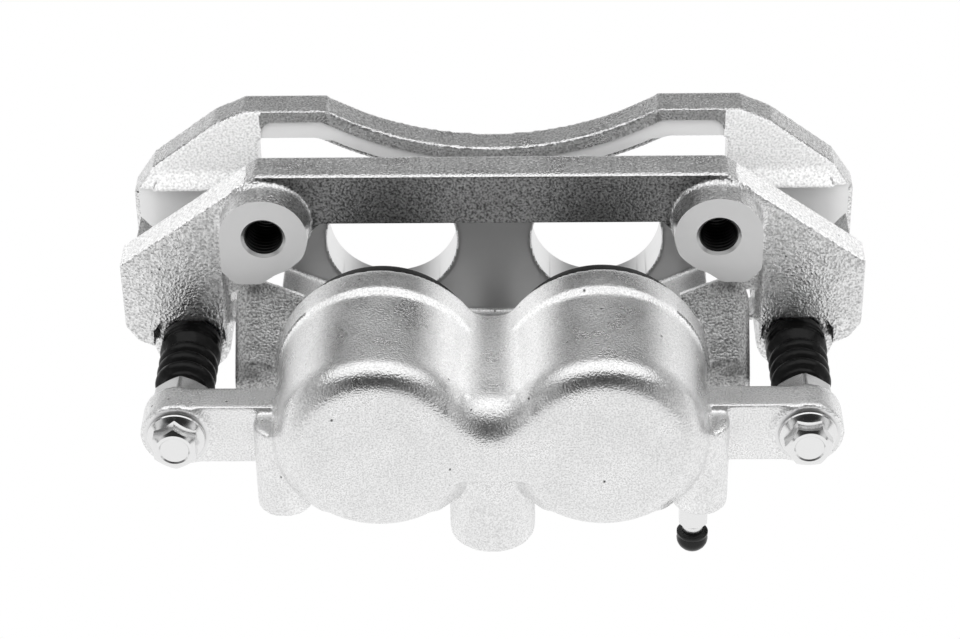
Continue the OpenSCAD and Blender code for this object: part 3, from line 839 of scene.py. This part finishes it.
# the flanks take less metallic and show bright under the lamps: painted light
flank = add(housing_skin.node_tree, "ShaderNodeGroup", node_tree=flank_group())
housing_metal = next(node for node in housing_skin.node_tree.nodes if node.type == "BSDF_PRINCIPLED")
housing_skin.node_tree.links.new(flank.outputs["Bright"], housing_metal.inputs["Metallic"])
plain = joined("plain_housing", [node_mesh("caliper_housing")])
drafts = [cylinder_shave(first, last) for first, last in DRAFTED]
for shave in [*both(shoulder_shave(), *drafts), web_shave()]:
    combine(plain, joined("shave", [shave]), "DIFFERENCE")
housing = joined("housing_casting", [plain.data, *both(cylinder_stock(), *shoulder_stock()), web_stock()])
bpy.data.objects.remove(plain)
cast(housing, HOUSING_VOXEL, HOUSING_SOFTEN, HOUSING_KEEP)
coat(housing, housing_skin)
mouth_face = (MOUTH_FACE_R, RIM_Y, RIM_Y + 16)
boot_bore = (BOOT_BORE_R, RIM_Y - BOOT_BORE_DEPTH, RIM_Y + 1)
piston_bore = (BORE_R, BORE_END, RIM_Y)
seal_groove = (BORE_R + SEAL_GROOVE, RIM_Y - SEAL_BACK, RIM_Y - SEAL_FRONT)
for radius, y0, y1 in (mouth_face, boot_bore, piston_bore, seal_groove):
    machine(housing, both(drum(radius, y0, y1, PISTON_X, PISTON_Z)), housing_cut)
ear_hole = drum(EAR_HOLE_R, EAR_FRONT, EAR_BACK, PIN_X, PIN_Z)
bolt_seat = drum(SEAT_R, EAR_FRONT - 1, ARM_FRONT - SEAT_DEPTH, PIN_X, PIN_Z)
port = [(0, PORT_LOW), (PORT_R + 0.9, PORT_LOW), (PORT_R, PORT_LOW + 2), (PORT_R, PORT_END), (0, PORT_END)]
finger_hole = drum(FINGER_HOLE_R, FINGER_FRONT - 1, FINGER_BACK + 2, PISTON_X, PISTON_Z, sides=192)
machine(housing, both(ear_hole), housing_cut)
machine(housing, both(bolt_seat), housing_cut)
machine(housing, [turned(port, 0, PORT_Y, 0, "Z", 48)], housing_cut)
machine(housing, both(finger_hole), housing_cut)
shoulder_painted_shade_slot = len(housing.data.materials)
finger_slot = shoulder_painted_shade_slot + 1
housing.data.materials.append(shoulder_painted_shade_skin)
housing.data.materials.append(finger_skin)
# The fingers' milled fronts take their finish. The shoulders' forward-facing faces take the darker copy:
# painted shade.
for face in housing.data.polygons:
    x, y, z = face.center / MM
    in_shoulder = SHOULDER_DEPTH[0] < y < SHOULDER_DEPTH[1] and SHOULDER_HEIGHT[0] < z < SHOULDER_HEIGHT[1]
    if face.normal.y < FINGER_FACING and FINGER_FRONT - 1 < y < FINGER_FRONT + 1:
        face.material_index = finger_slot
    elif face.normal.y < SHOULDER_FACING and abs(x) > SHOULDER[1][0] and in_shoulder:
        face.material_index = shoulder_painted_shade_slot
shade(housing)
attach(housing, "housing")
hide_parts("caliper_housing")


# ==== Pistons ====
# Two steel cups, ground and plated, that push the inner pad. Each has a groove near its open end for
# the dust boot and a chamfer at both ends.

PISTON_R = 24.0
PISTON_BACK = -50.5
PISTON_FRONT = 11.0
CUP_R = 18.0
CUP_END = -41.5
PISTON_GROOVE = 2
GROOVE_BACK = 6.0
GROOVE_FRONT = 8.5

piston_skin = machined_zinc("piston_ground_steel", (60, 2600, 60), 0.000008, rough=0.2)
for side, name in ((-1, "left"), (1, "right")):
    wall = [(0, PISTON_BACK), (PISTON_R - 1.5, PISTON_BACK), (PISTON_R, PISTON_BACK + 1.5),
            (PISTON_R, GROOVE_BACK - 0.2), (PISTON_R - PISTON_GROOVE, GROOVE_BACK),
            (PISTON_R - PISTON_GROOVE, GROOVE_FRONT), (PISTON_R - 0.3, GROOVE_FRONT + 0.2),
            (PISTON_R - 0.3, PISTON_FRONT - 0.6), (PISTON_R - 0.9, PISTON_FRONT),
            (CUP_R + 0.8, PISTON_FRONT), (CUP_R, PISTON_FRONT - 0.8),
            (CUP_R, CUP_END + 3), (CUP_R - 3, CUP_END), (0, CUP_END)]
    piston = link("piston_cup_" + name, turned(wall, side * PISTON_X, 0, PISTON_Z, "Y", 128))
    piston.data.materials.append(piston_skin)
    shade(piston)
    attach(piston, name + "_piston")
    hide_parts("piston_" + name)


# ==== Dust boots ====
# Moulded rubber bellows between each cylinder mouth and its piston. The outer bead sits in the
# counterbore and the inner lip in the piston's groove.


def rubber_flow_group():
    """The faint unevenness of moulded rubber."""
    group, start, end = new_group("rubber_flow", [("Grain", "NodeSocketFloat")], ["Height"])
    place = add(group, "ShaderNodeTexCoord")
    flow = add(group, "ShaderNodeTexNoise", {"Detail": 3})
    group.links.new(place.outputs["Object"], flow.inputs["Vector"])
    group.links.new(start.outputs["Grain"], flow.inputs["Scale"])
    group.links.new(flow.outputs[0], end.inputs["Height"])
    return group


rubber_flow = rubber_flow_group()


def rubber(name, colour, rough, depth, grain):
    """Moulded rubber: near black, with a faint uneven sheen."""
    material, tree, output = new_material(name)
    flow = add(tree, "ShaderNodeGroup", {"Grain": grain}, node_tree=rubber_flow)
    skin = add(tree, "ShaderNodeBsdfPrincipled", {"Base Color": grey(colour), "Specular IOR Level": 0.22})
    roughness = ramp(tree, flow.outputs["Height"], (0, 1), (rough - 0.08, rough + 0.12))
    tree.links.new(roughness, skin.inputs["Roughness"])
    raise_skin(tree, skin, flow.outputs["Height"], depth)
    tree.links.new(skin.outputs[0], output.inputs["Surface"])
    return material


dust_rubber = rubber("dust_boot_rubber", 0.004, rough=0.4, depth=0.0001, grain=400)
for side, name in ((-1, "left"), (1, "right")):
    outside = [(31.4, -7.9), (31.4, -3.2), (33.2, -2.2), (33.5, -0.5), (33.5, 5.6), (32.7, 7.1), (31.2, 7.5),
               (30.0, 6.6), (29.4, 2.2), (28.6, 1.6), (27.8, 2.4), (27.2, 6.6), (26.2, 8.0), (25.0, 8.4)]
    inside = [(22.2, 8.4), (22.2, 6.1), (25.2, 6.0), (26.0, 5.4), (26.6, 1.4), (27.8, 0.4), (29.4, 0.4),
              (30.6, 1.4), (31.3, 5.4), (32.0, 5.4), (32.2, 0.2), (31.4, -1.0), (29.9, -1.4), (29.9, -7.9)]
    bellows = link("dust_bellows_" + name, turned(outside + inside, side * PISTON_X, 0, PISTON_Z, "Y", 128))
    bellows.data.materials.append(dust_rubber)
    shade(bellows, 60)
    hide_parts("dust_boot_" + name)
    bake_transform(bellows)


# ==== Guide pin boots ====
# Black rubber bellows from the bracket leg to the pin's collar: a thick ringed collar pressed in the
# leg, then three soft folds and a neck.

BOOT_SEAT = 17.7
BOOT_NECK = -18.1
BOOT_VOXEL = 0.0004
BOOT_SOFTEN = 5
BOOT_KEEP = 0.35
BOOT_HOLE_R = 6.9
FIRST_FOLD = -10.3
FIRST_RING = 9.2

boot_skin = rubber("pin_boot_rubber", 0.003, rough=0.3, depth=0.0005, grain=260)
for side, name in ((-1, "left"), (1, "right")):
    sleeve = [(BOOT_HOLE_R, BOOT_SEAT), (10.8, BOOT_SEAT), (11.1, 14.5), (11.1, 8.6), (10.4, 7.6), (9.3, 5.8),
              (8.8, 4), (8.6, -12.5), (8.1, -14), (8.4, -15.6), (8.4, BOOT_NECK), (BOOT_HOLE_R, BOOT_NECK)]
    body = turned(sleeve, side * PIN_X, 0, PIN_Z, "Y", 96)
    shift = Matrix.Translation((side * PIN_X * MM, 0, PIN_Z * MM))
    folds = grow("folds", threads, {"Major Radius": 0.0086, "Ridge": 0.0024, "Pitch": 0.0061, "Turns": 3,
                                    "Ridge Sides": 20, "Finish": boot_skin},
                 shift @ Matrix.Translation((0, FIRST_FOLD * MM, 0)))
    rings = grow("rings", threads, {"Major Radius": 0.0104, "Ridge": 0.0009, "Pitch": 0.0022, "Turns": 3,
                                    "Ridge Sides": 12, "Finish": boot_skin},
                 shift @ Matrix.Translation((0, FIRST_RING * MM, 0)))
    boot = joined("pin_bellows_" + name, [body, folds.data, rings.data])
    bpy.data.objects.remove(folds)
    bpy.data.objects.remove(rings)
    cast(boot, BOOT_VOXEL, BOOT_SOFTEN, BOOT_KEEP)
    coat(boot, boot_skin)
    machine(boot, [drum(BOOT_HOLE_R, BOOT_NECK - 1, BOOT_SEAT + 1, side * PIN_X, PIN_Z)], boot_skin)
    shade(boot, 60)
    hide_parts("pin_boot_" + name)
    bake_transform(boot)


# ==== Guide pins ====
# Turned and plated steel pins that slide in the bracket legs, each with a hexagonal collar bolted
# against the inside of the housing's ear.

COLLAR_FLAT = 19.0
COLLAR_BACK = -27.45
COLLAR_FRONT = -18.2
PIN_R = 6.5
PIN_END = 60.05
PIN_TAPPED_R = 4.95


def hexagon(across, ends, x, y, z, axis, start=0):
    """A six-sided bar: across its flats, and its two ends along the axis, in millimetres."""
    corner = across / 2 / math.cos(math.radians(30))
    return turned([(0, ends[0]), (corner, ends[0]), (corner, ends[1]), (0, ends[1])], x, y, z, axis, 6, start)


pin_skin = machined_zinc("guide_pin_plated_steel", (80, 1500, 80), 0.00001, rough=0.18)
for side, name in ((-1, "left"), (1, "right")):
    collar = hexagon(COLLAR_FLAT, (COLLAR_BACK, COLLAR_FRONT), side * PIN_X, 0, PIN_Z, "Y", 30)
    pin = link("guide_pin_turned_" + name, collar)
    edge = [(0, COLLAR_BACK), (9.5, COLLAR_BACK), (10.9, COLLAR_BACK + 0.8), (10.9, COLLAR_FRONT - 0.8),
            (9.5, COLLAR_FRONT), (0, COLLAR_FRONT)]
    combine(pin, joined("edge", [turned(edge, side * PIN_X, 0, PIN_Z)]), "INTERSECT")
    rod = [(0, COLLAR_BACK + 1), (PIN_R, COLLAR_BACK + 1), (PIN_R, -14), (PIN_R - 0.8, -13.6),
           (PIN_R - 0.8, -11.4), (PIN_R, -11), (PIN_R, PIN_END - 1.2), (PIN_R - 1.2, PIN_END), (0, PIN_END)]
    combine(pin, joined("rod", [turned(rod, side * PIN_X, 0, PIN_Z)]), "UNION")
    tapped = drum(PIN_TAPPED_R, COLLAR_BACK - 1, -5, side * PIN_X, PIN_Z, PIN_TAPPED_R - 0.05)
    machine(pin, [tapped], pin_skin)
    coat(pin, pin_skin)
    shade(pin)
    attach(pin, "housing")
    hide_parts("guide_pin_" + name)


# ==== Guide bolts ====
# Zinc-plated flange bolts through the ears into the guide pins: a cone flange under a hexagon whose
# top is chamfered and slightly dished.

BOLT_FLAT = 15.0
FLANGE_R = 10.4
FLANGE_UNDER = -41.05
HEAD_TOP = -49.55
SHANK_R = 4.9
HEAD_CORNER_R = 8.9

bolt_skin = machined_zinc("guide_bolt_plated_steel", (500, 500, 500), 0.00002, rough=0.16)
for side, name, turn in ((-1, "left", 30), (1, "right", 0)):
    head = hexagon(BOLT_FLAT, (HEAD_TOP, -42), side * PIN_X, 0, PIN_Z, "Y", turn)
    bolt = link("flange_bolt_" + name, head)
    crown = [(0, HEAD_TOP + 0.5), (5.0, HEAD_TOP + 0.5), (5.5, HEAD_TOP), (6.7, HEAD_TOP),
             (HEAD_CORNER_R, HEAD_TOP + 1.4), (HEAD_CORNER_R, -41.5), (0, -41.5)]
    combine(bolt, joined("crown", [turned(crown, side * PIN_X, 0, PIN_Z)]), "INTERSECT")
    flange = [(0, -44.4), (7.2, -44.4), (8.4, -43.2), (FLANGE_R - 0.3, -42.3), (FLANGE_R, -41.9),
              (FLANGE_R, -41.3), (FLANGE_R - 0.25, FLANGE_UNDER), (SHANK_R, FLANGE_UNDER), (SHANK_R, -14),
              (SHANK_R - 0.8, -13), (0, -13)]
    combine(bolt, joined("flange", [turned(flange, side * PIN_X, 0, PIN_Z)]), "UNION")
    coat(bolt, bolt_skin)
    shade(bolt, 25)
    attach(bolt, "housing")
    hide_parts("guide_bolt_" + name)


# ==== Bleeder screw ====
# A small plated steel screw under the right cylinder: flange, hexagon, and a hollow barbed nipple.
# It is turned from hexagonal bar, and its cone seals the drilled way into the cylinder.

BLEED_X = 72.0
BLEED_Y = -45.0
BLEED_SEAT = -82.9
BLEED_FLAT = 10
BLEED_LOW = -92.5
NIPPLE_LOW = -99.5
BLEED_HOLE_R = 1.0

bleed_skin = machined_zinc("bleeder_plated_steel", (700, 700, 300), 0.00001, rough=0.18)
bleeder = link("bleeder_turned", hexagon(BLEED_FLAT, (BLEED_LOW, -84), BLEED_X, BLEED_Y, 0, "Z", 30))
rounds = [(0, BLEED_LOW), (5.0, BLEED_LOW), (5.75, -91.7), (5.75, -83), (0, -83)]
combine(bleeder, joined("rounds", [turned(rounds, BLEED_X, BLEED_Y, 0, "Z")]), "INTERSECT")
stem = [(0, NIPPLE_LOW), (2.2, NIPPLE_LOW), (3.0, -98.3), (3.0, -97), (2.4, -96.6), (3.6, -96.2),
        (3.9, -95.2), (3.9, -92), (3.0, -85), (5.0, -84.6), (5.9, -84.2), (5.9, BLEED_SEAT),
        (3.6, BLEED_SEAT), (3.6, -74), (2.6, -70.5), (0, -70.5)]
combine(bleeder, joined("stem", [turned(stem, BLEED_X, BLEED_Y, 0, "Z", 64)]), "UNION")
drill = [(0, -100), (BLEED_HOLE_R, -100), (BLEED_HOLE_R, -76), (0, -76)]
machine(bleeder, [turned(drill, BLEED_X, BLEED_Y, 0, "Z", 32)], bleed_skin)
coat(bleeder, bleed_skin)
shade(bleeder, 25)
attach(bleeder, "bleeder")
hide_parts("bleeder_screw")


# ==== Bleeder cap ====
# A black moulded rubber cap: a rolled mouth, a straight barrel and a round end. It is pushed over
# the screw's nipple, and a groove inside it holds on the barb.

CAP_R = 5.65
CAP_MOUTH = -96.7
CAP_ROUND = -100
CAP_END = -105.2

cap_skin = rubber("bleeder_cap_rubber", 0.008, rough=0.22, depth=0.00005, grain=300)
dome = [(CAP_R * math.cos(a), CAP_ROUND + (CAP_END - CAP_ROUND) * math.sin(a))
        for a in [math.radians(15 * i) for i in range(6)]]
shell = [(2.45, CAP_MOUTH), (CAP_R - 0.6, CAP_MOUTH), (CAP_R, -97.1), (CAP_R, -98), (CAP_R - 0.4, -98.5),
         *dome, (0, CAP_END), (0, -99.9), (2.3, -99.9), (3.05, -98.4), (3.05, -97.2), (2.45, -96.9)]
cap = link("bleeder_cap_moulded", turned(shell, BLEED_X, BLEED_Y, 0, "Z", 64))
cap.data.materials.append(cap_skin)
shade(cap, 50)
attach(cap, "cap")
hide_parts("bleeder_cap")


# ==== Hidden parts ====
# Seals, boot rings, the pin bushing and the passage plug sit inside the castings. Their plain shapes
# stay as designed and only take their finish.

seal_skin = rubber("seal_rubber_black", 0.012, rough=0.45, depth=0.00003, grain=600)
ring_skin = machined_zinc("ring_spring_steel", (900, 900, 900), 0.000008, rough=0.25)
hidden = {seal_skin: ("piston_seal_left", "piston_seal_right", "pin_bushing"),
          ring_skin: ("boot_ring_left", "boot_ring_right", "passage_plug")}
for finish, nodes in hidden.items():
    for node in nodes:
        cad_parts[node].data.materials.clear()
        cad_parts[node].data.materials.append(finish)
